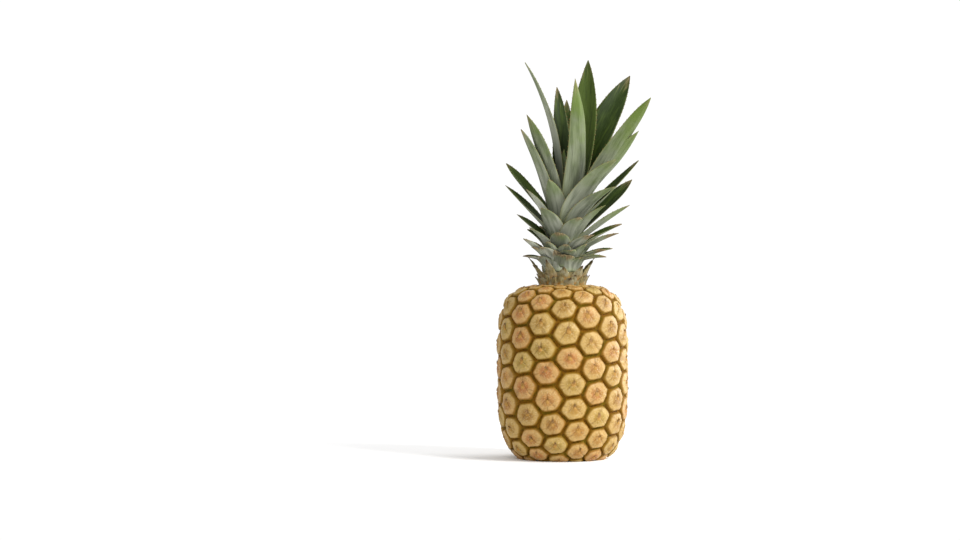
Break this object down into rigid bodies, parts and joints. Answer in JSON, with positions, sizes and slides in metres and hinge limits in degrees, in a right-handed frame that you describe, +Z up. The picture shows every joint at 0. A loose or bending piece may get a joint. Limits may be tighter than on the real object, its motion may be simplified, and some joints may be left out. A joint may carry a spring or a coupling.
{
  "type": "pineapple",
  "caption": "Whole fresh pineapple that stands on its base: a barrel-shaped fruit covered in raised eyes, with a stiff leafy crown.",
  "frame": {"origin": "centre of the flat cut end of the stalk, on the surface that the fruit stands on", "axes": "+Z up along the fruit's axis towards the crown, front towards -Y, +X to the right as seen from the front"},
  "size_m": [0.1419, 0.1358, 0.372],
  "materials": {
    "rind": "satin waxy rind, golden eyes in dark olive-brown grooves",
    "cut_stalk": "matt, dry and fibrous",
    "dry_bract": "matt, dry and papery",
    "leaf": "satin, grey-green bloom on the outer face and deep green on the inner"
  },
  "bodies": {
    "root": {"fruit": "rind", "stalk_end": "cut_stalk", "crown_base_bracts": "dry_bract", "crown": "leaf"}
  },
  "joints": []
}
